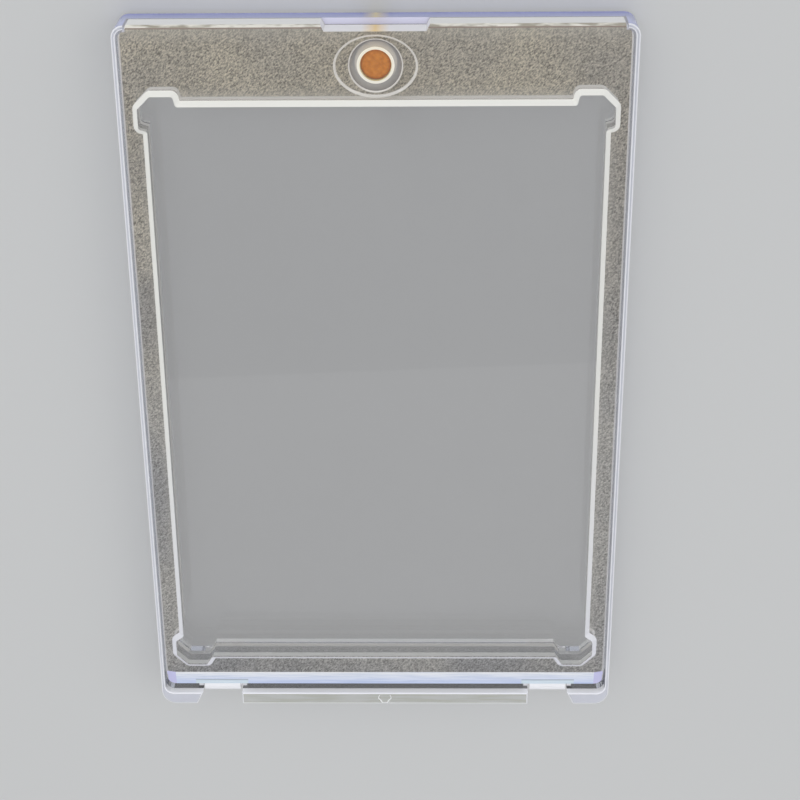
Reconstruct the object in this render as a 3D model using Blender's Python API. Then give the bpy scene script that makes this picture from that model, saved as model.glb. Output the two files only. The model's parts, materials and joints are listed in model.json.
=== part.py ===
"""Clear two-part holder for one trading card, held shut by a pair of disc magnets.

The holder lies on its back: X runs across it, +Y runs from the hinge end to the magnet
end, and +Z points out of its front. The origin is the middle of the back face.
A tray-shaped base shell carries a front cover, which is hooked over two short bars at
the hinge end and swings up from the magnet end. Metres throughout.
"""

import math

import bmesh
import bpy

# Clearances
FIT_GAP = 0.0003            # between pieces that touch
OVERRUN = 0.0010            # how far cuts run past the faces that they open

# Window plateau and the lobed card well under it
WINDOW_WIDTH = 0.0662
WINDOW_LENGTH = 0.0944
WINDOW_BEVEL = 0.00075
PLATEAU_HEIGHT = 0.0007     # how far the window stands proud of the border
LOBE_ACROSS = 0.00128       # how far a corner lobe reaches past the window's side
LOBE_ALONG = 0.00152        # and past its end
LOBE_WIDTH = 0.0041         # lobe's length along the window's end
LOBE_LENGTH = 0.0035        # lobe's length along the window's side
LOBE_CUT = 0.00185          # 45 degree cut across the lobe's outer corner
TOP_LEAN = 0.00035          # how far a lobe's two necks lean, at the magnet end
FOOT_LEAN = 0.00095         # and at the hinge end
LOBE_FILLET = 0.00045       # at the window's edge
LEAST_FILLET = 0.00015      # where the bevel narrows an inward fillet
FILLET_SHARE = 0.9          # most of a lobe's step that its fillets may take up
WELL_MARGIN = 0.0003        # the well's wall lies this far outside the window's edge
WELL_LEAD_IN = 0.00035      # chamfer round the well's mouth in both halves
COVER_WALL = 0.0012         # thickness of the cover's window
BASE_WALL = 0.0015          # thickness of the base's window

# Magnets, the plugs that close their bores, and the sunken oval over them
MAGNET_RADIUS = 0.0022
MAGNET_LENGTH = 0.00145
DISC_CHAMFER = 0.00015
PLUG_STEP = 0.00055         # how far a plug reaches past its magnet all round
PLUG_LENGTH = 0.00065
BACK_WALL = 0.0005          # from the base magnet's bore to the back face
FACE_WALL = 0.00045         # from the cover magnet's bore to the dish above it
DISH_RIM = 0.0012           # from the plug's edge to the dish's edge
DISH_DEPTH = 0.0002
OVAL_RIM_ACROSS = 0.00212   # from the dish's edge to the oval's, across the holder
OVAL_RIM_ALONG = 0.00065    # and along it
OVAL_DEPTH = 0.00035

# Borders round the window
SIDE_LAND = 0.00345         # window's side to the cover's side
END_LAND = 0.0014           # magnet end to the oval
MAGNET_LAND = 0.0011        # oval to the window's end
FOOT_LAND = 0.0062          # cover's foot to the window's end

# Base shell
RIM_WALL = 0.00065          # thickness of the thin rims, which end past the top corners
RAIL_WIDTH = 0.00214        # hinge end rail, measured along the holder
TOP_CORNER = 0.0018         # outer corner radius at the magnet end
FOOT_CORNER = 0.0024        # outer corner radius at the hinge end
TRAY_CORNER = 0.0014        # inner corner radius of the rim at the rail
BACK_CHAMFER = 0.0004
RIM_CHAMFER = 0.00022

# Front cover
SLOPE_RUN = 0.0028          # smooth band that falls away towards the rail
SLOPE_DROP = 0.0006
TOP_CHAMFER = 0.00065       # chamfer along the cover's magnet end
SIDE_CHAMFER = 0.00035
COVER_FOOT_CORNER = 0.0016
SHOULDER_FILLET = 0.00015   # where the end land steps out between the rims' ends

# Thumb notch in the cover's magnet end
NOTCH_WIDTH = 0.0155
NOTCH_DEPTH = 0.00095
NOTCH_SLANT = 0.0005        # how far each end of the notch leans inwards

# Hinge: two bars, each between two cheeks of the base, and the cover's hooks round them
BAR_FROM_RAIL = 0.00116     # rail's inner face to the bars' axis
COVER_FROM_BAR = 0.0004     # bars' axis to the cover's foot
BAR_RADIUS = 0.0006
HOOK_WALL = 0.0007
HOOK_WIDTH = 0.0060
HOOK_FROM_SIDE = 0.0102     # side of the holder to the hook's middle
HOOK_SINK = 0.0001          # how far the hook's top lies below the cover's foot
HOOK_START = math.radians(20.0)
HOOK_END = math.radians(255.0)
CHEEK_RIM = 0.0004          # cheek's material round the bar
CHEEK_WALL = 0.0007
CHEEK_ROOT = 0.0004         # how deep the cheeks are rooted in the floor
FOOT_SLANT = 0.0010         # how far the foot's inner end leans away from the notch

# Facets
FACET_ANGLE = math.radians(15.0)
DISC_SIDES = 48

# Heights above the back face
BORE_DEPTH = PLUG_LENGTH + MAGNET_LENGTH + 2 * FIT_GAP
BASE_FLOOR = BACK_WALL + BORE_DEPTH
COVER_BACK = BASE_FLOOR + FIT_GAP
OVAL_FLOOR = COVER_BACK + BORE_DEPTH + FACE_WALL + DISH_DEPTH
BORDER_TOP = OVAL_FLOOR + OVAL_DEPTH
WINDOW_TOP = BORDER_TOP + PLATEAU_HEIGHT

# Radii
PLUG_RADIUS = MAGNET_RADIUS + PLUG_STEP
DISH_RADIUS = PLUG_RADIUS + DISH_RIM
OVAL_HALF_WIDTH = DISH_RADIUS + OVAL_RIM_ACROSS
OVAL_HALF_LENGTH = DISH_RADIUS + OVAL_RIM_ALONG
HOOK_INNER = BAR_RADIUS + FIT_GAP
HOOK_OUTER = HOOK_INNER + HOOK_WALL
CHEEK_RADIUS = BAR_RADIUS + CHEEK_RIM
TRAY_TOP_CORNER = TOP_CORNER - RIM_WALL
COVER_TOP_CORNER = TRAY_TOP_CORNER - FIT_GAP

# Outline
COVER_HALF_WIDTH = WINDOW_WIDTH / 2 + SIDE_LAND
HALF_WIDTH = COVER_HALF_WIDTH + FIT_GAP + RIM_WALL
MOUTH_HALF_WIDTH = HALF_WIDTH - TOP_CORNER
COVER_FOOT = RAIL_WIDTH + BAR_FROM_RAIL + COVER_FROM_BAR
WINDOW_START = COVER_FOOT + FOOT_LAND
MAGNET_PLACE = WINDOW_START + WINDOW_LENGTH + MAGNET_LAND + OVAL_HALF_LENGTH
LENGTH = MAGNET_PLACE + OVAL_HALF_LENGTH + END_LAND


def along(distance):
    """Y of a place given by its distance from the hinge end."""
    return distance - LENGTH / 2


WINDOW_Y = along(WINDOW_START + WINDOW_LENGTH / 2)
MAGNET_Y = along(MAGNET_PLACE)
HINGE_Y = along(RAIL_WIDTH + BAR_FROM_RAIL)
HINGE_Z = BORDER_TOP - SLOPE_DROP - HOOK_SINK - HOOK_OUTER
HOOK_X = HALF_WIDTH - HOOK_FROM_SIDE


def clear_scene():
    for item in list(bpy.data.objects):
        bpy.data.objects.remove(item)


def make_material(name, colour, roughness, metallic=0.0, transmission=0.0, ior=1.5):
    material = bpy.data.materials.new(name)
    material.use_nodes = True
    shader = material.node_tree.nodes["Principled BSDF"]
    shader.inputs["Base Color"].default_value = (*colour, 1.0)
    shader.inputs["Roughness"].default_value = roughness
    shader.inputs["Metallic"].default_value = metallic
    shader.inputs["Transmission Weight"].default_value = transmission
    shader.inputs["IOR"].default_value = ior
    return material


def rounded(corners):
    """Closed outline through (x, y, radius) corners, each turned with an arc."""
    outline = []
    count = len(corners)
    for index, (x, y, radius) in enumerate(corners):
        before_x, before_y, _ = corners[index - 1]
        after_x, after_y, _ = corners[(index + 1) % count]
        heading_in = math.atan2(y - before_y, x - before_x)
        heading_out = math.atan2(after_y - y, after_x - x)
        turn = (heading_out - heading_in + math.pi) % (2 * math.pi) - math.pi
        side = math.copysign(1.0, turn)
        reach = radius * math.tan(abs(turn) / 2)
        start_x = x - reach * math.cos(heading_in)
        start_y = y - reach * math.sin(heading_in)
        centre_x = start_x - side * radius * math.sin(heading_in)
        centre_y = start_y + side * radius * math.cos(heading_in)
        steps = max(1, round(abs(turn) / FACET_ANGLE))
        for step in range(steps + 1):
            heading = heading_in + turn * step / steps
            outline.append((centre_x + side * radius * math.sin(heading),
                            centre_y - side * radius * math.cos(heading)))
    return outline


def box_outline(half_width, low, high, foot_radius, top_radius):
    """Rectangle from y = low to y = high with its own corner radius at each end."""
    return rounded([(-half_width, low, foot_radius), (half_width, low, foot_radius),
                    (half_width, high, top_radius), (-half_width, high, top_radius)])


def magnet_oval(half_width, half_length):
    """Oval round the magnets' axis."""
    turns = [2 * math.pi * k / DISC_SIDES for k in range(DISC_SIDES)]
    return [(half_width * math.cos(turn), MAGNET_Y + half_length * math.sin(turn))
            for turn in turns]


def magnet_circle(radius):
    return magnet_oval(radius, radius)


def lobed_outline(margin):
    """Window's outline, with a cut-corner lobe at each corner, grown by a margin."""
    side = WINDOW_WIDTH / 2 + margin
    end = WINDOW_LENGTH / 2 + margin
    lobe_side = side + LOBE_ACROSS
    lobe_end = end + LOBE_ALONG
    cut_back = LOBE_CUT + (2 - math.sqrt(2)) * margin
    step = min(LOBE_ACROSS, LOBE_ALONG)
    outward = min(LOBE_FILLET + margin, FILLET_SHARE * step)
    inward = min(max(LOBE_FILLET - margin, LEAST_FILLET), FILLET_SHARE * (step - outward))

    def quarter(lean):
        shift_down = margin * math.tan(math.pi / 4 - math.atan2(lean, LOBE_ACROSS) / 2)
        shift_in = margin * math.tan(math.pi / 4 - math.atan2(lean, LOBE_ALONG) / 2)
        lobe_down = WINDOW_LENGTH / 2 - LOBE_LENGTH - shift_down
        lobe_in = WINDOW_WIDTH / 2 - LOBE_WIDTH - shift_in
        return [(side, lobe_down - lean / 2, inward), (lobe_side, lobe_down + lean / 2, outward),
                (lobe_side, lobe_end - cut_back, outward),
                (lobe_side - cut_back, lobe_end, outward),
                (lobe_in + lean / 2, lobe_end, outward), (lobe_in - lean / 2, end, inward)]

    top = quarter(TOP_LEAN)
    foot = quarter(FOOT_LEAN)
    corners = list(top)
    corners += [(-x, y, radius) for x, y, radius in reversed(top)]
    corners += [(-x, -y, radius) for x, y, radius in foot]
    corners += [(x, -y, radius) for x, y, radius in reversed(foot)]
    return [(x, y + WINDOW_Y) for x, y in rounded(corners)]


def loft(name, levels):
    """Solid through (outline, z) levels that all have the same number of points."""
    mesh = bpy.data.meshes.new(name)
    shape = bmesh.new()
    rings = [[shape.verts.new((x, y, z)) for x, y in outline] for outline, z in levels]
    count = len(rings[0])
    for lower, upper in zip(rings, rings[1:]):
        for k in range(count):
            after = (k + 1) % count
            shape.faces.new((lower[k], lower[after], upper[after], upper[k]))
    shape.faces.new(list(reversed(rings[0])))
    shape.faces.new(rings[-1])
    bmesh.ops.recalc_face_normals(shape, faces=shape.faces)
    shape.to_mesh(mesh)
    shape.free()
    item = bpy.data.objects.new(name, mesh)
    bpy.context.collection.objects.link(item)
    return item


def side_prism(name, profile, low_x, high_x):
    """Solid between two X planes with a (y, z) profile."""
    item = loft(name, [(profile, low_x), (profile, high_x)])
    for vertex in item.data.vertices:
        y, z, x = vertex.co
        vertex.co = (x, y, z)
    return item


def combine(target, helper, operation):
    helper.hide_render = True
    helper.display_type = "WIRE"
    step = target.modifiers.new(helper.name, "BOOLEAN")
    step.operation = operation
    step.object = helper
    step.solver = "EXACT"


def cut(target, helper):
    combine(target, helper, "DIFFERENCE")


def add(target, helper):
    combine(target, helper, "UNION")


def round_shading(item):
    item.data.shade_smooth()
    item.data.set_sharp_from_angle(angle=2 * FACET_ANGLE)


def settle(item):
    """Apply the cuts and joins, drop their helpers and shade the round faces smooth."""
    helpers = [step.object for step in item.modifiers]
    view = bpy.context.evaluated_depsgraph_get()
    mesh = bpy.data.meshes.new_from_object(item.evaluated_get(view))
    mesh.name = item.name
    item.modifiers.clear()
    item.data = mesh
    for helper in helpers:
        bpy.data.objects.remove(helper)
    round_shading(item)


def cut_well(target, name, mouth, bottom):
    """Sink the lobed card well, with a lead-in chamfer round its mouth."""
    inward = math.copysign(1.0, bottom - mouth)
    wide = lobed_outline(WELL_MARGIN + WELL_LEAD_IN)
    plain = lobed_outline(WELL_MARGIN)
    cut(target, loft(name, [(wide, mouth - inward * OVERRUN), (wide, mouth),
                            (plain, mouth + inward * WELL_LEAD_IN), (plain, bottom)]))


def cut_magnet_bore(target, name, mouth, inward):
    """Bore for a magnet, with a wider mouth for the plug that closes it."""
    step = mouth + inward * (PLUG_LENGTH + FIT_GAP)
    wide = magnet_circle(PLUG_RADIUS + FIT_GAP)
    narrow = magnet_circle(MAGNET_RADIUS + FIT_GAP)
    cut(target, loft(name, [(wide, mouth - inward * OVERRUN), (wide, step),
                            (narrow, step), (narrow, mouth + inward * BORE_DEPTH)]))


def build_disc(name, radius, start, end, material):
    """Chamfered disc on the magnets' axis, between two heights."""
    low = min(start, end)
    high = max(start, end)
    inner = magnet_circle(radius - DISC_CHAMFER)
    outer = magnet_circle(radius)
    item = loft(name, [(inner, low), (outer, low + DISC_CHAMFER),
                       (outer, high - DISC_CHAMFER), (inner, high)])
    item.data.materials.append(material)
    round_shading(item)
    return item


def hinge_arc(radius, start, end):
    """Points on an arc about the hinge axis, as (y, z)."""
    steps = math.ceil((end - start) / FACET_ANGLE)
    turns = [start + (end - start) * k / steps for k in range(steps + 1)]
    return [(HINGE_Y + radius * math.cos(turn), HINGE_Z + radius * math.sin(turn))
            for turn in turns]


def cut_base_notch(base, side, name):
    """Opening through rail and floor for the hook, wider at the foot's leaning end."""
    middle = side * HOOK_X
    reach = HOOK_WIDTH / 2 + FIT_GAP
    inner = middle - side * reach
    outer = middle + side * reach
    leaning = outer + side * FOOT_SLANT
    low = along(0.0)
    far = HINGE_Y + HOOK_OUTER + FIT_GAP
    outline = [(inner, low - OVERRUN), (leaning, low - OVERRUN), (leaning, low),
               (outer, along(RAIL_WIDTH)), (outer, far), (inner, far)]
    cut(base, loft(f"{name}_notch", [(outline, -OVERRUN), (outline, BORDER_TOP + OVERRUN)]))


def add_hinge_bar(base, side, name):
    """Bar between two round-nosed cheeks that stand on either side of a notch."""
    middle = side * HOOK_X
    inner_face = HOOK_WIDTH / 2 + FIT_GAP
    low = BASE_FLOOR - CHEEK_ROOT
    cheek = [(HINGE_Y - CHEEK_RADIUS, low), (HINGE_Y + CHEEK_RADIUS, low)]
    cheek += hinge_arc(CHEEK_RADIUS, 0.0, math.pi)
    for place, label in ((-1, "left"), (1, "right")):
        near = middle + place * inner_face
        far = near + place * CHEEK_WALL
        add(base, side_prism(f"{name}_cheek_{label}", cheek, min(near, far), max(near, far)))
    half_bar = inner_face + CHEEK_WALL / 2
    bar = hinge_arc(BAR_RADIUS, 0.0, 2 * math.pi)[:-1]
    add(base, side_prism(f"{name}_bar", bar, middle - half_bar, middle + half_bar))


def build_base(material):
    """Tray with thin rims, open at the magnet end, and a rail and hinge bars at the other."""
    low = along(0.0)
    high = along(LENGTH)

    def outline(inset):
        return box_outline(HALF_WIDTH - inset, low + inset, high - inset,
                           FOOT_CORNER - inset, TOP_CORNER - inset)

    base = loft("base_shell", [(outline(BACK_CHAMFER), 0.0), (outline(0.0), BACK_CHAMFER),
                               (outline(0.0), BORDER_TOP - RIM_CHAMFER),
                               (outline(RIM_CHAMFER), BORDER_TOP)])
    base.data.materials.append(material)
    tray = box_outline(HALF_WIDTH - RIM_WALL, along(RAIL_WIDTH), high - RIM_WALL,
                       TRAY_CORNER, TRAY_TOP_CORNER)
    cut(base, loft("tray_cut", [(tray, BASE_FLOOR), (tray, BORDER_TOP + OVERRUN)]))
    inside = high - RIM_WALL - OVERRUN
    mouth = [(-MOUTH_HALF_WIDTH, inside), (MOUTH_HALF_WIDTH, inside),
             (MOUTH_HALF_WIDTH, high + OVERRUN), (-MOUTH_HALF_WIDTH, high + OVERRUN)]
    cut(base, loft("mouth_cut", [(mouth, BASE_FLOOR), (mouth, BORDER_TOP + OVERRUN)]))
    cut_well(base, "base_well_cut", BASE_FLOOR, BASE_WALL)
    cut_magnet_bore(base, "base_magnet_bore", BASE_FLOOR, -1)
    for side, name in ((-1, "left"), (1, "right")):
        cut_base_notch(base, side, name)
        add_hinge_bar(base, side, name)
    settle(base)


def cover_outline(side_in, top_in, foot_in):
    """Cover's outline inside the rims, with a land that fills the opening between their ends."""
    half = COVER_HALF_WIDTH - side_in
    land = MOUTH_HALF_WIDTH - FIT_GAP
    low = along(COVER_FOOT + foot_in)
    shoulder = along(LENGTH - RIM_WALL - FIT_GAP - side_in)
    high = along(LENGTH - top_in)
    foot_radius = COVER_FOOT_CORNER - side_in
    top_radius = COVER_TOP_CORNER - side_in
    half_outline = [(half, low, foot_radius), (half, shoulder, top_radius),
                    (land, shoulder, SHOULDER_FILLET), (land, high, SHOULDER_FILLET)]
    return rounded(half_outline + [(-x, y, radius) for x, y, radius in reversed(half_outline)])


def cover_levels():
    """Outlines of the cover's body, with a slope at the foot and chamfers elsewhere."""
    slope_start = BORDER_TOP - SLOPE_DROP
    chamfer_start = BORDER_TOP - TOP_CHAMFER
    side_start = BORDER_TOP - SIDE_CHAMFER
    levels = []
    for z in sorted((COVER_BACK, chamfer_start, slope_start, side_start, BORDER_TOP)):
        side_in = max(0.0, z - side_start)
        top_in = max(0.0, z - chamfer_start)
        foot_in = max(0.0, z - slope_start) * SLOPE_RUN / SLOPE_DROP
        levels.append((cover_outline(side_in, top_in, foot_in), z))
    return levels


def add_plateau(cover):
    """Raised window with a bevel all round."""
    foot = lobed_outline(WINDOW_BEVEL)
    add(cover, loft("window_plateau", [(foot, BORDER_TOP - PLATEAU_HEIGHT / 2),
                                       (foot, BORDER_TOP),
                                       (lobed_outline(0.0), WINDOW_TOP)]))


def cut_magnet_face(cover):
    """Sunken oval with sloping walls over the magnet, and a shallow round dish in it."""
    floor = magnet_oval(OVAL_HALF_WIDTH - OVAL_DEPTH, OVAL_HALF_LENGTH - OVAL_DEPTH)
    mouth = magnet_oval(OVAL_HALF_WIDTH + OVERRUN, OVAL_HALF_LENGTH + OVERRUN)
    cut(cover, loft("oval_cut", [(floor, OVAL_FLOOR), (mouth, BORDER_TOP + OVERRUN)]))
    dish = magnet_circle(DISH_RADIUS)
    dish_floor = magnet_circle(DISH_RADIUS - DISH_DEPTH)
    cut(cover, loft("dish_cut", [(dish_floor, OVAL_FLOOR - DISH_DEPTH), (dish, OVAL_FLOOR),
                                 (dish, OVAL_FLOOR + OVAL_DEPTH / 2)]))


def cut_thumb_notch(cover):
    """Shallow notch in the edge of the magnet end, for a thumbnail."""
    high = along(LENGTH)
    half = NOTCH_WIDTH / 2
    inner = half - NOTCH_SLANT
    outline = [(-inner, high - NOTCH_DEPTH), (inner, high - NOTCH_DEPTH), (half, high),
               (half, high + OVERRUN), (-half, high + OVERRUN), (-half, high)]
    cut(cover, loft("thumb_notch_cut", [(outline, COVER_BACK - OVERRUN),
                                        (outline, BORDER_TOP + OVERRUN)]))


def add_hook(cover, side, name):
    """Pocket that clears the cheeks, and the hook that goes round the bar in it."""
    middle = side * HOOK_X
    pocket_half = HOOK_WIDTH / 2 + FIT_GAP + CHEEK_WALL + FIT_GAP
    near = along(COVER_FOOT) - OVERRUN
    far = HINGE_Y + CHEEK_RADIUS + FIT_GAP
    low = COVER_BACK - OVERRUN
    ceiling = HINGE_Z + CHEEK_RADIUS + FIT_GAP
    pocket = [(near, low), (far, low), (far, ceiling), (near, ceiling)]
    cut(cover, side_prism(f"{name}_pocket", pocket, middle - pocket_half, middle + pocket_half))
    root = far + HOOK_WALL
    hook = hinge_arc(HOOK_OUTER, math.pi / 2, HOOK_END)
    hook += list(reversed(hinge_arc(HOOK_INNER, HOOK_START, HOOK_END)))
    hook += [(root, HINGE_Z + HOOK_INNER * math.sin(HOOK_START)), (root, HINGE_Z + HOOK_OUTER)]
    add(cover, side_prism(f"{name}_hook", hook, middle - HOOK_WIDTH / 2,
                          middle + HOOK_WIDTH / 2))


def build_cover(material):
    """Front cover: frame, raised window, magnet seat, thumb notch and the two hooks."""
    cover = loft("front_cover", cover_levels())
    cover.data.materials.append(material)
    add_plateau(cover)
    cut_well(cover, "cover_well_cut", COVER_BACK, WINDOW_TOP - COVER_WALL)
    cut_magnet_face(cover)
    cut_magnet_bore(cover, "cover_magnet_bore", COVER_BACK, 1)
    cut_thumb_notch(cover)
    for side, name in ((-1, "left"), (1, "right")):
        add_hook(cover, side, name)
    settle(cover)
    return cover


def build_magnet(owner, mouth, inward, metal, clear):
    """A magnet in its bore, and the plug that closes the bore at the mating face."""
    plug_end = mouth + inward * PLUG_LENGTH
    magnet_start = plug_end + inward * FIT_GAP
    magnet_end = magnet_start + inward * MAGNET_LENGTH
    plug = build_disc(f"{owner}_magnet_plug", PLUG_RADIUS, mouth, plug_end, clear)
    magnet = build_disc(f"{owner}_magnet", MAGNET_RADIUS, magnet_start, magnet_end, metal)
    return [plug, magnet]


def hang_on_hinge(pieces):
    """Parent the moving pieces to an empty on the hinge axis, without moving them."""
    pivot = bpy.data.objects.new("cover_hinge_axis", None)
    bpy.context.collection.objects.link(pivot)
    pivot.location = (0.0, HINGE_Y, HINGE_Z)
    bpy.context.view_layer.update()
    for piece in pieces:
        piece.parent = pivot
        piece.matrix_parent_inverse = pivot.matrix_world.inverted()


def main():
    clear_scene()
    base_clear = make_material("base_clear", (0.90, 0.92, 0.95), 0.08, 0.0, 0.9, 1.58)
    cover_clear = make_material("cover_clear", (0.93, 0.94, 0.95), 0.08, 0.0, 0.9, 1.58)
    plug_clear = make_material("plug_clear", (0.94, 0.94, 0.92), 0.15, 0.0, 0.8, 1.58)
    gold_plate = make_material("gold_plate", (0.83, 0.45, 0.12), 0.35, 1.0)
    build_base(base_clear)
    build_magnet("base", BASE_FLOOR, -1, gold_plate, plug_clear)
    cover = build_cover(cover_clear)
    hang_on_hinge([cover] + build_magnet("cover", COVER_BACK, 1, gold_plate, plug_clear))


main()
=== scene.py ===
"""Looks of the clear magnetic card holder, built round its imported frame. Metres throughout."""

import json
import math

import bmesh
import bpy
from mathutils import Matrix, Vector


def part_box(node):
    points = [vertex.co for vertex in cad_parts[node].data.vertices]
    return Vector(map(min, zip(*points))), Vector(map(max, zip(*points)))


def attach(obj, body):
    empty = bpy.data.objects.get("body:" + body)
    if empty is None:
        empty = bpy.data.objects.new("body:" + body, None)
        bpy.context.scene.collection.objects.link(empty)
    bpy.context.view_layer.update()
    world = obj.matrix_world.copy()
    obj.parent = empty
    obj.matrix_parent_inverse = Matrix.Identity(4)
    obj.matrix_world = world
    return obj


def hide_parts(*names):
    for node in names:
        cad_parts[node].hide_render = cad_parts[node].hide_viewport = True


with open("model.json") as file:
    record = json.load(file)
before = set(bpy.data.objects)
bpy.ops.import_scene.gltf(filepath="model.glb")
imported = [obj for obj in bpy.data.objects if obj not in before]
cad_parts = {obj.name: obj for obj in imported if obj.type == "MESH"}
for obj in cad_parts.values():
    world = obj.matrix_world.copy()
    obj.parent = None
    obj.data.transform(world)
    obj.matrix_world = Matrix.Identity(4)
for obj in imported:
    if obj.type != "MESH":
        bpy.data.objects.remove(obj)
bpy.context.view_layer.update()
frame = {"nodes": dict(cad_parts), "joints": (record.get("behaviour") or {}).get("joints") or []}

# Places read from the frame
BASE_LOW, BASE_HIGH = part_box("base_shell")
COVER_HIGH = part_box("front_cover")[1]
MAGNET_LOW, MAGNET_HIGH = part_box("cover_magnet")
PLUG_LOW, PLUG_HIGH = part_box("cover_magnet_plug")
BASE_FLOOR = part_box("base_magnet_plug")[1].z
COVER_BACK = PLUG_LOW.z
BORDER_TOP = BASE_HIGH.z
WINDOW_TOP = COVER_HIGH.z
FOOT_Y = BASE_LOW.y
TOP_Y = BASE_HIGH.y
HALF_WIDTH = BASE_HIGH.x
COVER_HALF_WIDTH = COVER_HIGH.x
MAGNET_Y = (MAGNET_LOW.y + MAGNET_HIGH.y) / 2
HINGE = Vector(frame["joints"][0]["pos_m"])
FIT_GAP = COVER_BACK - BASE_FLOOR

# Window plateau and card well
WINDOW_WIDTH = 0.0662
WINDOW_LENGTH = 0.0944
WINDOW_BEVEL = 0.00075
LOBE_ACROSS = 0.00128
LOBE_ALONG = 0.00152
LOBE_WIDTH = 0.0041
LOBE_LENGTH = 0.0035
LOBE_CUT = 0.00185
TOP_LEAN = 0.00035
FOOT_LEAN = 0.00095
LOBE_FILLET = 0.00045
LEAST_FILLET = 0.00015
FILLET_SHARE = 0.9
WELL_MARGIN = 0.0003
WELL_LEAD_IN = 0.00035
WELL_BAND_LOW = 0.0025      # between these heights the wells' walls stay mostly clear, painted grey as shade; beyond them they are painted white as a highlight band
WELL_BAND_HIGH = 0.0056
COVER_WALL = 0.0012
BASE_WALL = 0.0015
PLATEAU_HEIGHT = WINDOW_TOP - BORDER_TOP

# Magnet seat
BORE_DEPTH = MAGNET_HIGH.z - COVER_BACK + FIT_GAP
OVAL_HALF_WIDTH = 0.00607
OVAL_HALF_LENGTH = 0.0046
OVAL_DEPTH = 0.00035
DISH_RADIUS = 0.00395
DISH_DEPTH = 0.0002
OVAL_FLOOR = BORDER_TOP - OVAL_DEPTH
MAGNET_RADIUS = (MAGNET_HIGH.x - MAGNET_LOW.x) / 2
PLUG_RADIUS = (PLUG_HIGH.x - PLUG_LOW.x) / 2

# Base shell
RIM_WALL = 0.00065
RAIL_WIDTH = 0.00214
TOP_CORNER = 0.0018
FOOT_CORNER = 0.0024
TRAY_CORNER = 0.0014
TRAY_TOP_CORNER = TOP_CORNER - RIM_WALL
MOUTH_HALF_WIDTH = HALF_WIDTH - TOP_CORNER
BACK_ROUND = 0.0004
RIM_ROUND = 0.00022

# Front cover
COVER_FOOT = 0.0037
FOOT_LAND = 0.0062          # from the cover's foot to the window's end
SLOPE_RUN = 0.0028
SLOPE_DROP = 0.0006
TOP_ROUND = 0.00065
SIDE_ROUND = 0.00035
COVER_FOOT_CORNER = 0.0016
COVER_TOP_CORNER = TRAY_TOP_CORNER - FIT_GAP
SHOULDER_FILLET = 0.00015
NOTCH_WIDTH = 0.0155
NOTCH_DEPTH = 0.00095
NOTCH_SLANT = 0.0005

# Hinge
BAR_RADIUS = 0.0006
HOOK_WALL = 0.0007
HOOK_WIDTH = 0.0060
HOOK_X = 0.0273
HOOK_START = math.radians(20.0)
HOOK_END = math.radians(255.0)
CHEEK_RIM = 0.0004
CHEEK_WALL = 0.0007
CHEEK_ROOT = 0.0004
FOOT_SLANT = 0.0010
HOOK_INNER = BAR_RADIUS + FIT_GAP
HOOK_OUTER = HOOK_INNER + HOOK_WALL
CHEEK_RADIUS = BAR_RADIUS + CHEEK_RIM
POCKET_HALF_WIDTH = HOOK_WIDTH / 2 + CHEEK_WALL + 2 * FIT_GAP
POCKET_WALL = HINGE.y + CHEEK_RADIUS + FIT_GAP
POCKET_CEILING = HINGE.z + CHEEK_RADIUS + FIT_GAP

# Small marks and lines
RAIL_BAND_DEPTH = 0.0014            # top of the rail's inner wall, which catches the light
RAIL_BAND = BORDER_TOP - RAIL_BAND_DEPTH
SEAT_DEPTH = 0.00005                # of the ring round the plug and the land under the notch
SEAT_RADIUS = 0.0034
HIGHLIGHT_RING_INNER = 0.0023            # ring in the dish painted bright as a highlight, out to the next radius
# ring in the dish darkened outwards by painted shade, from here to the dish floor's edge
DISH_RING_INNER = 0.0027
END_REFLECTION_START = 0.87               # slope from which the rounded end shows its painted dark reflection line
GATE_DEPTH = 0.00012
GATE_EDGE = 0.00014
GATE_ROUND = 0.0003
GATE_HALF_OUTLINE = ((0.00075, 0.00020), (0.00050, 0.00058), (0.00102, 0.00110),
                     (0.00080, 0.00185))    # half width and distance from the foot edge

# Fineness of the meshes
ARC_STEP = math.radians(7.5)
SHARP_ANGLE = math.radians(10.0)
DISC_SIDES = 96
OVERRUN = 0.0010
NEAR = 0.00002              # how close a face lies to a height to count as lying on it

# Shares of a face's normal along an axis, by which the finishes tell faces apart
LEVEL = 0.99
FACING = 0.9
UPRIGHT = 0.1
LEAST_SLOPE = 0.3
BEVEL_SLOPE = 0.5
MOST_SLOPE = 0.95
EDGE_SLOPE = 0.98
LEAST_COVER_END = 0.2
LEAST_BASE_END = 0.15
LEAST_RIM_EDGE = 0.05

# Plastic and gold
WHITE = (1.0, 1.0, 1.0)
PLASTIC_IOR = 1.53
CLEAR_SHADOW = (0.985, 0.985, 0.99)
HAZY_SHADOW = (0.75, 0.75, 0.75)
GRAIN_SIZE = 0.00019
GRAIN_STRETCH = 1.7
GRAIN_TURN = math.radians(45.0)
GRAIN_DEPTH = 0.0001
PATCH_SIZE = 0.014
# Painted highlight: a paler halo painted on the grained border by the window and the magnet end
HALO_WIDTH = 0.0022
END_HALO = 0.0035
PAINTED_HALO_STRENGTH = 0.5
PAINTED_HALO_COLOUR = (0.78, 0.75, 0.67)
# half width of the painted gold reflection in the end faces
GOLD_GLEAM_REACH = 0.0020
LINE_WIDTH = 0.00018
# Hinge pockets seen through the slope: a painted tint over them and a painted shade line at their
# wall
POCKET_TINT = (0.74, 0.86, 0.84)
POCKET_SHADE_LINE = (0.30, 0.33, 0.42)
POCKET_SHADE = 0.6
SLOPE_STREAK = 0.00025      # streaks, ripples and mottle across their least width
SLOPE_RIPPLE = 0.0005
END_HIGHLIGHT_DASH = 0.0007
RAIL_STREAK = 0.0006
BORDER_RIPPLE = 0.0006
GOLD_MOTTLE = 0.0006
GOLD_RIM_SHARE = 0.78       # share of the magnet's radius from which painted shade darkens its rim
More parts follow.
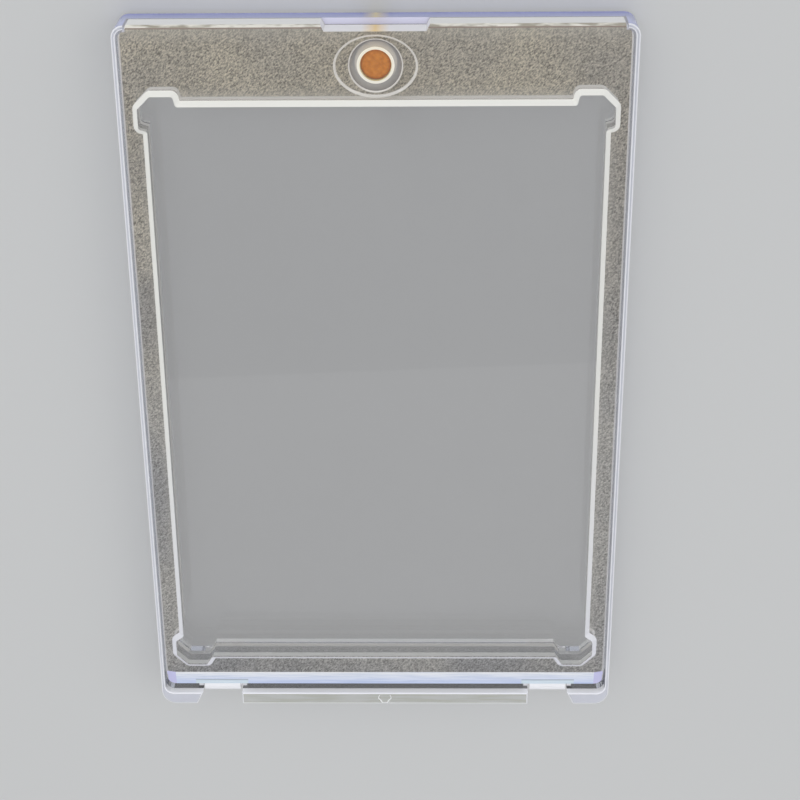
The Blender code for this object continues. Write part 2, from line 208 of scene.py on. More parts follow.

# Camera and studio
CAMERA_PLACE = Vector((0.00779, 0.12592, 0.26402))
CAMERA_TARGET = Vector((0.00303, -0.00092, 0.0072))
CAMERA_ROLL = math.radians(-0.55)
CAMERA_LENS_MM = 83.25
CAMERA_SENSOR_MM = 36.0
CAMERA_CLIP = 0.01
FLOOR_SIZE = 4.0
FLOOR_DROP = 0.0001         # thin air film under the back face
FLOOR_COLOUR = (0.60, 0.60, 0.59)
FLOOR_ROUGHNESS = 0.9
FLOOR_SPECULAR = 0.1
WORLD_COLOUR = (0.92, 0.95, 1.0)
WORLD_STRENGTH = 0.5
LAMPS = (                   # name, place, size, power in watts, mirrored in the plastic
    ("key", (-0.45, 0.75, 0.60), 0.9, 5.2, False),
    ("fill", (0.75, 0.1, 0.55), 0.9, 2.0, True),
    ("back", (0.0, -0.85, 0.55), 0.6, 2.6, False),
    ("panel", (0.02, -0.50, 0.60), 0.42, 0.22, True),
)


def along(distance):
    """Y of a place given by its distance from the hinge end."""
    return FOOT_Y + distance


def near(value, level):
    """Whether a value lies on a level."""
    return abs(value - level) < NEAR


WINDOW_Y = along(COVER_FOOT + FOOT_LAND + WINDOW_LENGTH / 2)


def rounded(corners):
    """Closed outline through (x, y, radius) corners, each turned with an arc."""
    outline = []
    count = len(corners)
    for index, (x, y, radius) in enumerate(corners):
        before_x, before_y, _ = corners[index - 1]
        after_x, after_y, _ = corners[(index + 1) % count]
        heading_in = math.atan2(y - before_y, x - before_x)
        heading_out = math.atan2(after_y - y, after_x - x)
        turn = (heading_out - heading_in + math.pi) % (2 * math.pi) - math.pi
        side = math.copysign(1.0, turn)
        reach = radius * math.tan(abs(turn) / 2)
        start_x = x - reach * math.cos(heading_in)
        start_y = y - reach * math.sin(heading_in)
        centre_x = start_x - side * radius * math.sin(heading_in)
        centre_y = start_y + side * radius * math.cos(heading_in)
        steps = max(1, round(abs(turn) / ARC_STEP))
        for step in range(steps + 1):
            heading = heading_in + turn * step / steps
            outline.append((centre_x + side * radius * math.sin(heading),
                            centre_y - side * radius * math.cos(heading)))
    return outline


def box_outline(half_width, low, high, foot_radius, top_radius):
    return rounded([(-half_width, low, foot_radius), (half_width, low, foot_radius),
                    (half_width, high, top_radius), (-half_width, high, top_radius)])


def magnet_oval(half_width, half_length):
    turns = [2 * math.pi * k / DISC_SIDES for k in range(DISC_SIDES)]
    return [(half_width * math.cos(turn), MAGNET_Y + half_length * math.sin(turn))
            for turn in turns]


def magnet_circle(radius):
    return magnet_oval(radius, radius)


def lobed_outline(margin):
    """Window's outline, with a cut-corner lobe at each corner, grown by a margin."""
    side = WINDOW_WIDTH / 2 + margin
    end = WINDOW_LENGTH / 2 + margin
    lobe_side = side + LOBE_ACROSS
    lobe_end = end + LOBE_ALONG
    cut_back = LOBE_CUT + (2 - math.sqrt(2)) * margin
    step = min(LOBE_ACROSS, LOBE_ALONG)
    outward = min(LOBE_FILLET + margin, FILLET_SHARE * step)
    inward = min(max(LOBE_FILLET - margin, LEAST_FILLET), FILLET_SHARE * (step - outward))

    def quarter(lean):
        shift_down = margin * math.tan(math.pi / 4 - math.atan2(lean, LOBE_ACROSS) / 2)
        shift_in = margin * math.tan(math.pi / 4 - math.atan2(lean, LOBE_ALONG) / 2)
        lobe_down = WINDOW_LENGTH / 2 - LOBE_LENGTH - shift_down
        lobe_in = WINDOW_WIDTH / 2 - LOBE_WIDTH - shift_in
        return [(side, lobe_down - lean / 2, inward), (lobe_side, lobe_down + lean / 2, outward),
                (lobe_side, lobe_end - cut_back, outward),
                (lobe_side - cut_back, lobe_end, outward),
                (lobe_in + lean / 2, lobe_end, outward), (lobe_in - lean / 2, end, inward)]

    top = quarter(TOP_LEAN)
    foot = quarter(FOOT_LEAN)
    corners = list(top)
    corners += [(-x, y, radius) for x, y, radius in reversed(top)]
    corners += [(-x, -y, radius) for x, y, radius in foot]
    corners += [(x, -y, radius) for x, y, radius in reversed(foot)]
    return [(x, y + WINDOW_Y) for x, y in rounded(corners)]


def loft(name, levels):
    """Solid through (outline, z) levels that all have the same number of points."""
    mesh = bpy.data.meshes.new(name)
    shape = bmesh.new()
    rings = [[shape.verts.new((x, y, z)) for x, y in outline] for outline, z in levels]
    count = len(rings[0])
    for lower, upper in zip(rings, rings[1:]):
        for k in range(count):
            after = (k + 1) % count
            shape.faces.new((lower[k], lower[after], upper[after], upper[k]))
    shape.faces.new(list(reversed(rings[0])))
    shape.faces.new(rings[-1])
    bmesh.ops.recalc_face_normals(shape, faces=shape.faces)
    shape.to_mesh(mesh)
    shape.free()
    item = bpy.data.objects.new(name, mesh)
    bpy.context.scene.collection.objects.link(item)
    return item


def side_prism(name, profile, low_x, high_x):
    """Solid between two X planes with a (y, z) profile."""
    item = loft(name, [(profile, low_x), (profile, high_x)])
    for vertex in item.data.vertices:
        y, z, x = vertex.co
        vertex.co = (x, y, z)
    return item


def combine(target, helper, operation):
    step = target.modifiers.new(helper.name, "BOOLEAN")
    step.operation = operation
    step.object = helper
    step.solver = "EXACT"


def cut(target, helper):
    combine(target, helper, "DIFFERENCE")


def add(target, helper):
    combine(target, helper, "UNION")


def settle(item):
    """Apply the cuts and joins, drop their helpers and shade the round faces smooth."""
    helpers = [step.object for step in item.modifiers]
    view = bpy.context.evaluated_depsgraph_get()
    mesh = bpy.data.meshes.new_from_object(item.evaluated_get(view))
    item.modifiers.clear()
    item.data = mesh
    for helper in helpers:
        bpy.data.objects.remove(helper)
    mesh.shade_smooth()
    mesh.set_sharp_from_angle(angle=SHARP_ANGLE)
    item.modifiers.new("even_shading", "WEIGHTED_NORMAL").keep_sharp = True


def round_steps(radius):
    """(inset, depth below the face) pairs down a rounded edge of a face, inner end first."""
    steps = round(math.pi / 2 / ARC_STEP)
    angles = [math.pi / 2 * k / steps for k in range(steps + 1)]
    return [(radius * (1 - math.sin(angle)), radius * (1 - math.cos(angle)))
            for angle in angles]


def round_inset(radius, depth):
    """Inset of a rounded edge at a depth below its face."""
    if depth >= radius:
        return 0.0
    return radius - math.sqrt(radius ** 2 - (radius - depth) ** 2)


def cut_well(target, name, mouth, band, bottom):
    """Card well with a lead-in round its mouth and a line round its wall at a band's edge."""
    inward = math.copysign(1.0, bottom - mouth)
    wide = lobed_outline(WELL_MARGIN + WELL_LEAD_IN)
    plain = lobed_outline(WELL_MARGIN)
    cut(target, loft(name, [(wide, mouth - inward * OVERRUN), (wide, mouth),
                            (plain, mouth + inward * WELL_LEAD_IN), (plain, band),
                            (plain, bottom)]))


def cut_magnet_bore(target, name, mouth, inward):
    """Stepped bore for magnet and plug, coned at its end down to the magnet's own radius."""
    step = mouth + inward * (PLUG_HIGH.z - PLUG_LOW.z + FIT_GAP)
    end = mouth + inward * BORE_DEPTH
    wide = magnet_circle(PLUG_RADIUS + FIT_GAP)
    narrow = magnet_circle(MAGNET_RADIUS + FIT_GAP)
    cut(target, loft(name, [(wide, mouth - inward * OVERRUN), (wide, step), (narrow, step),
                            (narrow, end - inward * FIT_GAP), (magnet_circle(MAGNET_RADIUS), end)]))


def hinge_arc(radius, start, end):
    """(y, z) points on an arc about the hinge axis."""
    steps = math.ceil((end - start) / ARC_STEP)
    turns = [start + (end - start) * k / steps for k in range(steps + 1)]
    return [(HINGE.y + radius * math.cos(turn), HINGE.z + radius * math.sin(turn))
            for turn in turns]


def cut_base_notch(base, side, name):
    """Opening for the hook, with rounded upper edges."""

    def outline(flare):
        middle = side * HOOK_X
        reach = side * (HOOK_WIDTH / 2 + FIT_GAP + flare)
        inner = middle - reach
        outer = middle + reach
        leaning = outer + side * FOOT_SLANT
        far = HINGE.y + HOOK_OUTER + FIT_GAP
        return [(inner, FOOT_Y - OVERRUN), (leaning, FOOT_Y - OVERRUN), (leaning, FOOT_Y),
                (outer, along(RAIL_WIDTH)), (outer, far), (inner, far)]

    levels = [(outline(0.0), -OVERRUN)]
    levels += [(outline(inset), BORDER_TOP - depth)
               for inset, depth in reversed(round_steps(RIM_ROUND))]
    levels.append((outline(RIM_ROUND), BORDER_TOP + OVERRUN))
    cut(base, loft(f"{name}_notch", levels))


def add_hinge_bar(base, side, name):
    """Bar for a hook, between two cheeks that stand on the base's floor."""
    middle = side * HOOK_X
    inner_face = HOOK_WIDTH / 2 + FIT_GAP
    low = BASE_FLOOR - CHEEK_ROOT
    cheek = [(HINGE.y - CHEEK_RADIUS, low), (HINGE.y + CHEEK_RADIUS, low)]
    cheek += hinge_arc(CHEEK_RADIUS, 0.0, math.pi)
    for place, label in ((-1, "left"), (1, "right")):
        inner = middle + place * inner_face
        outer = inner + place * CHEEK_WALL
        add(base, side_prism(f"{name}_cheek_{label}", cheek, min(inner, outer), max(inner, outer)))
    half_bar = inner_face + CHEEK_WALL / 2
    bar = hinge_arc(BAR_RADIUS, 0.0, 2 * math.pi)[:-1]
    add(base, side_prism(f"{name}_bar", bar, middle - half_bar, middle + half_bar))


def build_base():
    """Base shell with rounded edges."""

    def outline(inset):
        return box_outline(HALF_WIDTH - inset, FOOT_Y + inset, TOP_Y - inset,
                           FOOT_CORNER - inset, TOP_CORNER - inset)

    levels = [(outline(inset), depth) for inset, depth in round_steps(BACK_ROUND)]
    levels += [(outline(inset), BORDER_TOP - depth)
               for inset, depth in reversed(round_steps(RIM_ROUND))]
    base = loft("base_shell_dressed", levels)

    def tray(flare):
        return box_outline(HALF_WIDTH - RIM_WALL + flare, along(RAIL_WIDTH) - flare,
                           TOP_Y - RIM_WALL + flare, TRAY_CORNER + flare,
                           TRAY_TOP_CORNER + flare)

    levels = [(tray(0.0), BASE_FLOOR), (tray(0.0), RAIL_BAND)]
    levels += [(tray(inset), BORDER_TOP - depth)
               for inset, depth in reversed(round_steps(RIM_ROUND))]
    levels.append((tray(RIM_ROUND), BORDER_TOP + OVERRUN))
    cut(base, loft("tray_cut", levels))
    inside = TOP_Y - RIM_WALL - OVERRUN
    mouth = [(-MOUTH_HALF_WIDTH, inside), (MOUTH_HALF_WIDTH, inside),
             (MOUTH_HALF_WIDTH, TOP_Y + OVERRUN), (-MOUTH_HALF_WIDTH, TOP_Y + OVERRUN)]
    cut(base, loft("mouth_cut", [(mouth, BASE_FLOOR), (mouth, BORDER_TOP + OVERRUN)]))
    cut_well(base, "base_well_cut", BASE_FLOOR, WELL_BAND_LOW, BASE_WALL)
    cut_magnet_bore(base, "base_magnet_bore", BASE_FLOOR, -1)
    cut_gate_mark(base)
    cut(base, thumb_notch(BASE_FLOOR - SEAT_DEPTH))
    for side, name in ((-1, "left"), (1, "right")):
        cut_base_notch(base, side, name)
        add_hinge_bar(base, side, name)
    settle(base)
    return base


def cover_outline(side_in, top_in, foot_in):
    """Cover's outline inside the rims, with a land that fills the opening between their ends."""
    half = COVER_HALF_WIDTH - side_in
    land = MOUTH_HALF_WIDTH - FIT_GAP
    low = along(COVER_FOOT) + foot_in
    shoulder = TOP_Y - RIM_WALL - FIT_GAP - side_in
    high = TOP_Y - top_in
    foot_radius = COVER_FOOT_CORNER - side_in
    top_radius = COVER_TOP_CORNER - side_in
    half_outline = [(half, low, foot_radius), (half, shoulder, top_radius),
                    (land, shoulder, SHOULDER_FILLET), (land, high, SHOULDER_FILLET)]
    return rounded(half_outline + [(-x, y, radius) for x, y, radius in reversed(half_outline)])


def cover_levels():
    """Outlines of the cover's body, with a slope at the foot and round edges elsewhere."""
    heights = {COVER_BACK, BORDER_TOP - SLOPE_DROP}
    for radius in (TOP_ROUND, SIDE_ROUND):
        heights |= {BORDER_TOP - depth for _, depth in round_steps(radius)}
    levels = []
    for z in sorted(heights):
        depth = BORDER_TOP - z
        side_in = round_inset(SIDE_ROUND, depth)
        top_in = round_inset(TOP_ROUND, depth)
        foot_in = max(0.0, SLOPE_DROP - depth) * SLOPE_RUN / SLOPE_DROP
        levels.append((cover_outline(side_in, top_in, foot_in), z))
    return levels


def add_plateau(cover):
    foot = lobed_outline(WINDOW_BEVEL)
    add(cover, loft("window_plateau", [(foot, BORDER_TOP - PLATEAU_HEIGHT / 2),
                                       (foot, BORDER_TOP),
                                       (lobed_outline(0.0), WINDOW_TOP)]))


def cut_magnet_face(cover):
    """Oval recess over the magnet, with a round dish whose floor has two rings, one for a painted
    highlight and one for painted shade.
    """
    floor = magnet_oval(OVAL_HALF_WIDTH - OVAL_DEPTH, OVAL_HALF_LENGTH - OVAL_DEPTH)
    mouth = magnet_oval(OVAL_HALF_WIDTH + OVERRUN, OVAL_HALF_LENGTH + OVERRUN)
    cut(cover, loft("oval_cut", [(floor, OVAL_FLOOR), (mouth, BORDER_TOP + OVERRUN)]))
    dish = magnet_circle(DISH_RADIUS)
    dish_floor = magnet_circle(DISH_RADIUS - DISH_DEPTH)
    low = OVAL_FLOOR - DISH_DEPTH
    cut(cover, loft("dish_cut", [(magnet_circle(HIGHLIGHT_RING_INNER), low),
                                 (magnet_circle(DISH_RING_INNER), low), (dish_floor, low),
                                 (dish, OVAL_FLOOR), (dish, OVAL_FLOOR + OVAL_DEPTH / 2)]))


def cut_gate_mark(base):
    """Shallow waisted recess in the middle of the rail, left by the mould's gate."""

    def outline(margin):
        half = [(x + margin, along(y), GATE_ROUND) for x, y in GATE_HALF_OUTLINE]
        return rounded(half + [(-x, y, radius) for x, y, radius in reversed(half)])

    cut(base, loft("gate_mark", [(outline(0.0), BORDER_TOP - GATE_DEPTH),
                                 (outline(GATE_EDGE), BORDER_TOP),
                                 (outline(GATE_EDGE), BORDER_TOP + OVERRUN)]))


def cut_magnet_seat(cover):
    """Polished ring round the plug, sunk by a hair below the grained mating face, and painted dark
    as shade.
    """
    ring = magnet_circle(SEAT_RADIUS)
    cut(cover, loft("magnet_seat", [(ring, COVER_BACK - OVERRUN), (ring, COVER_BACK + SEAT_DEPTH)]))


def thumb_notch(low):
    """Cutter for the thumb notch, from a height upwards."""
    half = NOTCH_WIDTH / 2
    inner = half - NOTCH_SLANT
    outline = [(-inner, TOP_Y - NOTCH_DEPTH), (inner, TOP_Y - NOTCH_DEPTH), (half, TOP_Y),
               (half, TOP_Y + OVERRUN), (-half, TOP_Y + OVERRUN), (-half, TOP_Y)]
    return loft("thumb_notch_cut", [(outline, low), (outline, BORDER_TOP + OVERRUN)])


def add_hook(cover, side, name):
    """Hook that goes round a hinge bar, in a pocket under the cover's slope."""
    middle = side * HOOK_X
    mouth = along(COVER_FOOT) - OVERRUN
    low = COVER_BACK - OVERRUN
    pocket = [(mouth, low), (POCKET_WALL, low), (POCKET_WALL, POCKET_CEILING),
              (mouth, POCKET_CEILING)]
    cut(cover, side_prism(f"{name}_pocket", pocket, middle - POCKET_HALF_WIDTH,
                          middle + POCKET_HALF_WIDTH))
    root = POCKET_WALL + HOOK_WALL
    hook = hinge_arc(HOOK_OUTER, math.pi / 2, HOOK_END)
    hook += list(reversed(hinge_arc(HOOK_INNER, HOOK_START, HOOK_END)))
    hook += [(root, HINGE.z + HOOK_INNER * math.sin(HOOK_START)), (root, HINGE.z + HOOK_OUTER)]
    add(cover, side_prism(f"{name}_hook", hook, middle - HOOK_WIDTH / 2,
                          middle + HOOK_WIDTH / 2))


def build_cover():
    """Front cover with rounded edges."""
    cover = loft("front_cover_dressed", cover_levels())
    add_plateau(cover)
    cut_well(cover, "cover_well_cut", COVER_BACK, WELL_BAND_HIGH, WINDOW_TOP - COVER_WALL)
    cut_magnet_face(cover)
    cut_magnet_seat(cover)
    cut_magnet_bore(cover, "cover_magnet_bore", COVER_BACK, 1)
    cut(cover, thumb_notch(COVER_BACK - OVERRUN))
    for side, name in ((-1, "left"), (1, "right")):
        add_hook(cover, side, name)
    settle(cover)
    return cover


def new_material(name):
    material = bpy.data.materials.new(name)
    material.use_nodes = True
    return material, material.node_tree, material.node_tree.nodes["Principled BSDF"]


def plastic(name, colour, haze, roughness, shadow=CLEAR_SHADOW):
    """Moulded plastic, clear apart from a share of haze, that lets light through to the floor."""
    material, tree, shader = new_material(name)
    shader.inputs["Base Color"].default_value = (*colour, 1.0)
    shader.inputs["Roughness"].default_value = roughness
    shader.inputs["Transmission Weight"].default_value = 1.0 - haze
    shader.inputs["IOR"].default_value = PLASTIC_IOR
    passing = tree.nodes.new("ShaderNodeBsdfTransparent")
    passing.inputs["Color"].default_value = (*shadow, 1.0)
    path = tree.nodes.new("ShaderNodeLightPath")
    mix = tree.nodes.new("ShaderNodeMixShader")
    output = tree.nodes["Material Output"]
    tree.links.new(path.outputs["Is Shadow Ray"], mix.inputs["Fac"])
    tree.links.new(shader.outputs["BSDF"], mix.inputs[1])
    tree.links.new(passing.outputs["BSDF"], mix.inputs[2])
    tree.links.new(mix.outputs["Shader"], output.inputs["Surface"])
    return material


def noise_of(tree, size, detail, stretch, turn):
    """Noise of a grain size in metres, drawn out along a direction across the object."""
    place = tree.nodes.new("ShaderNodeTexCoord")
    mapping = tree.nodes.new("ShaderNodeMapping")
    mapping.vector_type = "TEXTURE"
    mapping.inputs["Rotation"].default_value = (0.0, 0.0, turn)
    mapping.inputs["Scale"].default_value = (stretch * size, size, size)
    noise = tree.nodes.new("ShaderNodeTexNoise")
    noise.inputs["Scale"].default_value = 1.0
    noise.inputs["Detail"].default_value = detail
    tree.links.new(place.outputs["Object"], mapping.inputs["Vector"])
    tree.links.new(mapping.outputs["Vector"], noise.inputs["Vector"])
    return noise.outputs["Fac"]


def calculate(tree, operation, first, second=0.0):
    """Math node on sockets or numbers."""
    node = tree.nodes.new("ShaderNodeMath")
    node.operation = operation
    for socket, value in zip(node.inputs, (first, second)):
        if isinstance(value, float):
            socket.default_value = value
        else:
            tree.links.new(value, socket)
    return node.outputs["Value"]


def place_along(tree, axis):
    """Object coordinate along one axis, in metres."""
    place = tree.nodes.new("ShaderNodeTexCoord")
    separate = tree.nodes.new("ShaderNodeSeparateXYZ")
    tree.links.new(place.outputs["Object"], separate.inputs["Vector"])
    return separate.outputs[axis]


def share_between(tree, source, low, high):
    """Share of the way that a value has come from low to high, from 0 to 1."""
    spread = tree.nodes.new("ShaderNodeMapRange")
    spread.inputs["From Min"].default_value = low
    spread.inputs["From Max"].default_value = high
    tree.links.new(source, spread.inputs["Value"])
    return spread.outputs["Result"]


def ramp_of(tree, source, low, high, low_place=0.35, high_place=0.65):
    ramp = tree.nodes.new("ShaderNodeValToRGB")
    ends = ramp.color_ramp.elements
    ends[0].position, ends[1].position = low_place, high_place
    ends[0].color, ends[1].color = (*low, 1.0), (*high, 1.0)
    tree.links.new(source, ramp.inputs["Fac"])
    return ramp.outputs["Color"]


def blended(tree, first, second, factor, blend_type="MIX"):
    """Mix of two colours, each a socket or a plain colour."""
    mix = tree.nodes.new("ShaderNodeMix")
    mix.data_type = "RGBA"
    mix.blend_type = blend_type
    for name, value in (("Factor", factor), ("A", first), ("B", second)):
        socket = next(item for item in mix.inputs if item.name == name and item.enabled)
        if isinstance(value, tuple):
            socket.default_value = (*value, 1.0)
        elif isinstance(value, float):
            socket.default_value = value
        else:
            tree.links.new(value, socket)
    return next(item for item in mix.outputs if item.enabled)


def colour_by(material, source_of, low, high):
    """Base colour that runs from one colour to another with a value from 0 to 1."""
    tree = material.node_tree
    colour = ramp_of(tree, source_of(tree), low, high, 0.0, 1.0)
    tree.links.new(colour, tree.nodes["Principled BSDF"].inputs["Base Color"])
    return material


def up_the_object(tree):
    return share_between(tree, place_along(tree, "Y"), FOOT_Y, TOP_Y)


def up_to_the_middle(tree):
    return share_between(tree, place_along(tree, "Y"), FOOT_Y, 0.0)


def round_the_window(tree):
    """1 beside the window and 0 from the width of its painted highlight halo on."""
    across = calculate(tree, "ABSOLUTE", place_along(tree, "X"))
    across = calculate(tree, "SUBTRACT", across, WINDOW_WIDTH / 2)
    along_it = calculate(tree, "SUBTRACT", place_along(tree, "Y"), WINDOW_Y)
    along_it = calculate(tree, "ABSOLUTE", along_it)
    along_it = calculate(tree, "SUBTRACT", along_it, WINDOW_LENGTH / 2)
    outside = calculate(tree, "MAXIMUM", across, along_it)
    return share_between(tree, outside, HALO_WIDTH, 0.0)


def near_magnet_end(tree):
    return share_between(tree, place_along(tree, "Y"), TOP_Y - END_HALO, TOP_Y)


def off_centre(tree):
    """0 in the middle of the holder's width and 1 from the edge of the painted gold gleam on."""
    across = calculate(tree, "ABSOLUTE", place_along(tree, "X"))
    return share_between(tree, across, 0.0, GOLD_GLEAM_REACH)


def from_magnet_axis(tree, low, high):
    """Share of the way from one radius round the magnets' axis to another."""
    along_it = calculate(tree, "SUBTRACT", place_along(tree, "Y"), MAGNET_Y)
    square = calculate(tree, "MULTIPLY", along_it, along_it)
    across = place_along(tree, "X")
    both = calculate(tree, "ADD", square, calculate(tree, "MULTIPLY", across, across))
    return share_between(tree, calculate(tree, "SQRT", both), low, high)


def across_dish_ring(tree):
    return from_magnet_axis(tree, DISH_RING_INNER, DISH_RADIUS - DISH_DEPTH)


def down_the_slope(tree):
    """0 at the upper edge of the cover's slope and 1 at its foot."""
    return share_between(tree, place_along(tree, "Y"), along(COVER_FOOT + SLOPE_RUN),
                         along(COVER_FOOT))


def under_the_cover(tree):
    """0 in the groove between rail and cover, painted dark there as shade, and 1 under the cover.
    """
    return share_between(tree, place_along(tree, "Y"), along(COVER_FOOT), HINGE.y + HOOK_OUTER)


def up_the_end(tree):
    return share_between(tree, place_along(tree, "Z"), 0.0, BASE_FLOOR)


def grained(material, low, high, strength):
    """Fine spark-eroded grain: speckle, painted light that brightens and warms it towards the
    magnet end, a paler halo painted as a highlight by the window and the end, and a bump.
    """
    tree = material.node_tree
    shader = tree.nodes["Principled BSDF"]
    grain = noise_of(tree, GRAIN_SIZE, 2.0, GRAIN_STRETCH, GRAIN_TURN)
    bump = tree.nodes.new("ShaderNodeBump")
    bump.inputs["Strength"].default_value = strength
    bump.inputs["Distance"].default_value = GRAIN_DEPTH
    tree.links.new(grain, bump.inputs["Height"])
    tree.links.new(bump.outputs["Normal"], shader.inputs["Normal"])
    colour = ramp_of(tree, grain, low, high, 0.3, 0.7)
    patches = noise_of(tree, PATCH_SIZE, 1.0, 1.0, 0.0)
    colour = blended(tree, colour, ramp_of(tree, patches, (0.78, 0.78, 0.80), (1.0, 0.98, 0.94)),
                     1.0, "MULTIPLY")
    # painted light: brighter and warmer towards the magnet end, darker and bluer towards the foot
    painted_light = ramp_of(tree, up_the_object(tree), (0.84, 0.87, 0.94), (1.0, 0.97, 0.90), 0.4, 0.9)
    colour = blended(tree, colour, painted_light, 1.0, "MULTIPLY")
    # painted highlight: paler halo by the window and the magnet end
    halo = calculate(tree, "MAXIMUM", round_the_window(tree), near_magnet_end(tree))
    halo = calculate(tree, "MULTIPLY", halo, PAINTED_HALO_STRENGTH)
    colour = blended(tree, colour, PAINTED_HALO_COLOUR, halo)
    tree.links.new(colour, shader.inputs["Base Color"])
    return material


def streaked(material, size, stretch, low, high):
    """Streaks along the holder's width, laid over the base colour."""
    tree = material.node_tree
    socket = tree.nodes["Principled BSDF"].inputs["Base Color"]
    streaks = ramp_of(tree, noise_of(tree, size, 2.0, stretch, 0.0), low, high, 0.4, 0.6)
    if socket.is_linked:
        under = socket.links[0].from_socket
    else:
        under = tuple(socket.default_value[:3])
    tree.links.new(blended(tree, under, streaks, 1.0, "MULTIPLY"), socket)
    return material


def pocketed(material):
    """Hinge pockets painted faintly into the surface above them as seen through it, with a painted
    shade line along their wall.
    """
    tree = material.node_tree
    socket = tree.nodes["Principled BSDF"].inputs["Base Color"]
    from_hook = calculate(tree, "SUBTRACT", calculate(tree, "ABSOLUTE", place_along(tree, "X")),
                          HOOK_X)
    from_hook = calculate(tree, "ABSOLUTE", from_hook)
    in_width = share_between(tree, from_hook, POCKET_HALF_WIDTH + LINE_WIDTH, POCKET_HALF_WIDTH)
    past_wall = calculate(tree, "SUBTRACT", place_along(tree, "Y"), POCKET_WALL)
    inside = share_between(tree, past_wall, LINE_WIDTH, 0.0)
    at_wall = share_between(tree, calculate(tree, "ABSOLUTE", past_wall), LINE_WIDTH,
                            LINE_WIDTH / 2)
    floor_share = calculate(tree, "MULTIPLY", inside, POCKET_SHADE)
    floor = blended(tree, socket.links[0].from_socket, POCKET_TINT,
                    calculate(tree, "MULTIPLY", in_width, floor_share))
    line_share = calculate(tree, "MULTIPLY", at_wall, POCKET_SHADE)
    line = blended(tree, floor, POCKET_SHADE_LINE, calculate(tree, "MULTIPLY", in_width, line_share))
    tree.links.new(line, socket)
    return material


def painted_gold_gleam(material, glow, plain):
    """Painted reflection: a warm gleam of the gold magnets, painted into the end faces beside them.
    """
    tree = material.node_tree
    socket = tree.nodes["Principled BSDF"].inputs["Base Color"]
    under = socket.links[0].from_socket if socket.is_linked else plain
    tree.links.new(blended(tree, glow, under, off_centre(tree)), socket)
    return material


def rippled(material, size, strength):
    """Faint flow marks of moulding."""
    tree = material.node_tree
    bump = tree.nodes.new("ShaderNodeBump")
    bump.inputs["Strength"].default_value = strength
    bump.inputs["Distance"].default_value = GRAIN_DEPTH
    tree.links.new(noise_of(tree, size, 1.0, 1.0, 0.0), bump.inputs["Height"])
    tree.links.new(bump.outputs["Normal"], tree.nodes["Principled BSDF"].inputs["Normal"])
    return material


def cover_finish(centre, normal):
    """Which finish a face of the cover has, from its place and direction."""
    from_magnet = math.hypot(centre.x, centre.y - MAGNET_Y)
    over_magnet = from_magnet < OVAL_HALF_WIDTH and centre.z > MAGNET_HIGH.z
    upright = abs(normal.z) < UPRIGHT
    if centre.y < along(COVER_FOOT) - NEAR:
        return "hook"
    if normal.z < -LEVEL and near(centre.z, COVER_BACK):
        return "cover_border"
    if near(centre.z, COVER_BACK + SEAT_DEPTH) and from_magnet < SEAT_RADIUS:
        return "magnet_seat"
    if near(centre.z, OVAL_FLOOR - DISH_DEPTH) and HIGHLIGHT_RING_INNER < from_magnet < DISH_RADIUS:
        return "dish_ring" if from_magnet > DISH_RING_INNER else "glow_ring"
    if centre.y < POCKET_WALL + NEAR and COVER_BACK < centre.z < POCKET_CEILING + NEAR:
        if normal.z < -LEVEL and near(centre.z, POCKET_CEILING):
            return "pocket_ceiling"
        if near(centre.y, POCKET_WALL):
            return "pocket_wall"
        if abs(normal.x) > FACING and abs(centre.x) < COVER_HALF_WIDTH - COVER_FOOT_CORNER:
            return "hook"
    if -MOST_SLOPE < normal.z < -LEAST_SLOPE and centre.z < COVER_BACK + WELL_LEAD_IN:
        return "cover_lead_in"
    if BEVEL_SLOPE < normal.z < MOST_SLOPE and BORDER_TOP < centre.z:
        return "window_bevel"
    if BEVEL_SLOPE < normal.z < FACING and over_magnet:
        return "oval_edge"
    if from_magnet < PLUG_RADIUS + 2 * FIT_GAP and COVER_BACK + NEAR < centre.z < OVAL_FLOOR:
        if normal.z > FACING or from_magnet < MAGNET_RADIUS - NEAR:
            return "cover_clear"
        return "magnet_ring" if from_magnet < MAGNET_RADIUS + FIT_GAP + NEAR else "magnet_step"
    on_slope = centre.y < along(COVER_FOOT + SLOPE_RUN) and centre.z < BORDER_TOP - NEAR
    if normal.z > FACING and on_slope:
        at_corner = abs(centre.x) > COVER_HALF_WIDTH - COVER_FOOT_CORNER - NEAR
        return "slope_corner" if at_corner else "foot_slope"
    if centre.y > TOP_Y - NOTCH_DEPTH - NEAR and normal.y > LEAST_COVER_END:
        if upright:
            return "cover_end"
        return "cover_end_line" if normal.z > END_REFLECTION_START else "cover_end_round"
    if -UPRIGHT < normal.z < EDGE_SLOPE and abs(centre.x) > COVER_HALF_WIDTH - SIDE_ROUND - NEAR:
        return "cover_side" if upright else "cover_edge"
    well_side = WINDOW_WIDTH / 2 + LOBE_ACROSS + WELL_MARGIN
    well_end = WINDOW_LENGTH / 2 + LOBE_ALONG + WELL_MARGIN
    if (upright and abs(centre.x) < well_side + NEAR
            and abs(centre.y - WINDOW_Y) < well_end + NEAR):
        return "cover_well_band" if centre.z > WELL_BAND_HIGH else "cover_well_wall"
    return "cover_clear"


def in_base_outline(centre):
    """Whether a face lies in the base's outer wall, its round corners included."""
    across = abs(centre.x) - HALF_WIDTH
    beyond = abs(centre.y) - TOP_Y
    radius = TOP_CORNER if centre.y > 0.0 else FOOT_CORNER
    if max(across, beyond) > -NEAR:
        return True
    from_arc = math.hypot(max(0.0, across + radius), max(0.0, beyond + radius)) - radius
    return min(across, beyond) > -radius and from_arc > -NEAR


